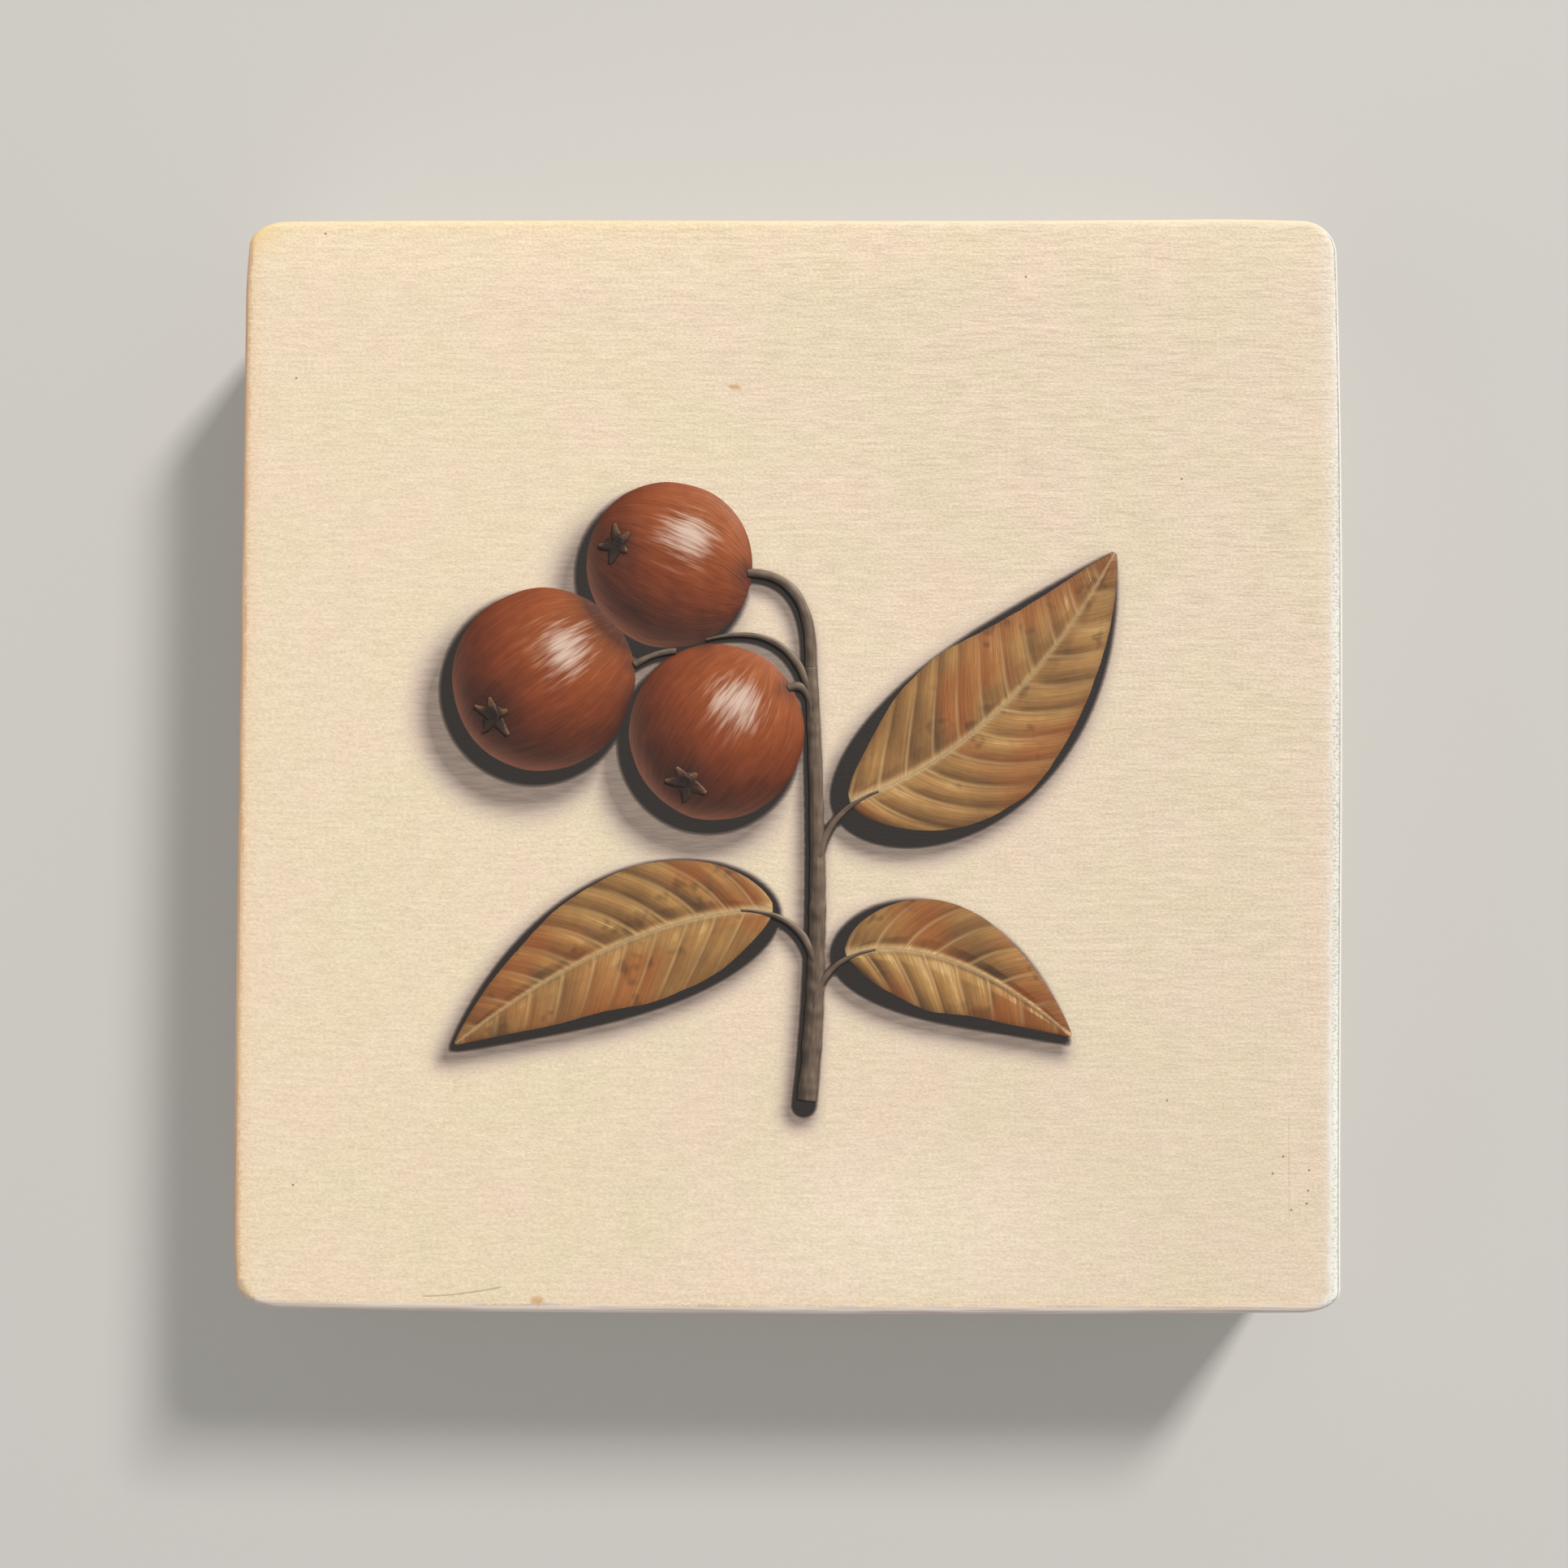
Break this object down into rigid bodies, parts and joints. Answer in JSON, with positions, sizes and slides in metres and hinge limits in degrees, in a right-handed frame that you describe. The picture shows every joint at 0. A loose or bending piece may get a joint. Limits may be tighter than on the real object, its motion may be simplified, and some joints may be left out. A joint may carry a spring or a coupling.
{
  "type": "cradled wood painting panel",
  "caption": "Small square wood panel on a hollow mitred cradle, with a cream painted ground, rounded corners and a painted sprig of leaves and berries on its face.",
  "frame": {"origin": "centre of the square, in the plane of the cradle's back edges, which is the lowest point as the panel lies on its back", "axes": "+Z out of the painted face, +Y towards the top of the picture, +X to the picture's right"},
  "size_m": [0.1016, 0.1016, 0.019],
  "materials": {
    "cream_ground": "matte",
    "bare_wood": "matte",
    "leaf_paint": "satin",
    "berry_paint": "satin",
    "stem_paint": "satin"
  },
  "bodies": {
    "root": {"face_board": "cream_ground", "top_rail": "bare_wood", "left_rail": "bare_wood", "bottom_rail": "bare_wood", "right_rail": "bare_wood"}
  },
  "joints": []
}
